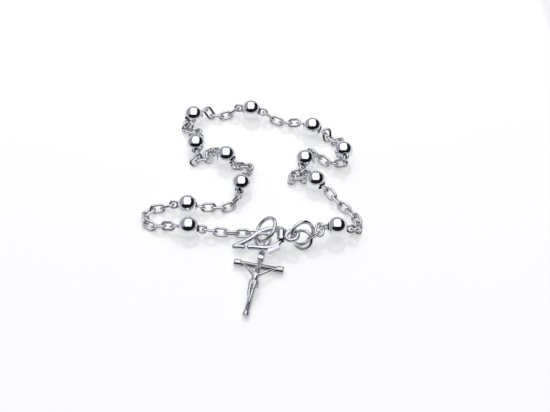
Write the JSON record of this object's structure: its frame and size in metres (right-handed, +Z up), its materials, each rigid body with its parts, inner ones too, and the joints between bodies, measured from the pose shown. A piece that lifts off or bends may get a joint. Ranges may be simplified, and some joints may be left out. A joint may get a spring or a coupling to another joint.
{
  "type": "rosary bracelet",
  "caption": "Silver rosary bracelet lying open in a loose loop: round beads on wire pins joined by short oval-link chains, lobster clasp, jump rings and a small crucifix.",
  "frame": {"origin": "middle of the underside of everything, on the surface that the bracelet lies on", "axes": "+Z up from the surface, +Y from the crucifix to the far side of the loop, +X to the right with the crucifix nearest"},
  "size_m": [0.0426, 0.053, 0.0053],
  "materials": {
    "silver": "polished silver, smooth, mirror bright"
  },
  "bodies": {
    "bracelet": {"bead_01": "silver", "bead_02": "silver", "bead_03": "silver", "bead_04": "silver", "bead_05": "silver", "bead_06": "silver", "bead_07": "silver", "bead_08": "silver", "bead_09": "silver", "bead_10": "silver", "bead_11": "silver", "bead_12": "silver", "pin_01": "silver", "pin_02": "silver", "pin_03": "silver", "pin_04": "silver", "pin_05": "silver", "pin_06": "silver", "pin_07": "silver", "pin_08": "silver", "pin_09": "silver", "pin_10": "silver", "pin_11": "silver", "pin_12": "silver", "chain_01": "silver", "chain_02": "silver", "chain_03": "silver", "chain_04": "silver", "chain_05": "silver", "chain_06": "silver", "chain_07": "silver", "chain_08": "silver", "chain_09": "silver", "chain_10": "silver", "chain_11": "silver", "chain_12": "silver", "chain_13": "silver", "ring_large": "silver", "ring_cross": "silver", "ring_tail": "silver", "ring_end": "silver", "clasp_body": "silver", "crucifix": "silver"},
    "lever": {"clasp_lever": "silver"}
  },
  "joints": [
    {"name": "lever_hinge", "type": "hinge", "parent": "bracelet", "child": "lever", "pos_m": [0.00552, -0.01028, 0.00294], "axis": [0.2079, 0, -0.9781], "range_deg": [0, 5], "stiffness_Nm_per_rad": 0.0005, "springref_deg": -11.46}
  ]
}
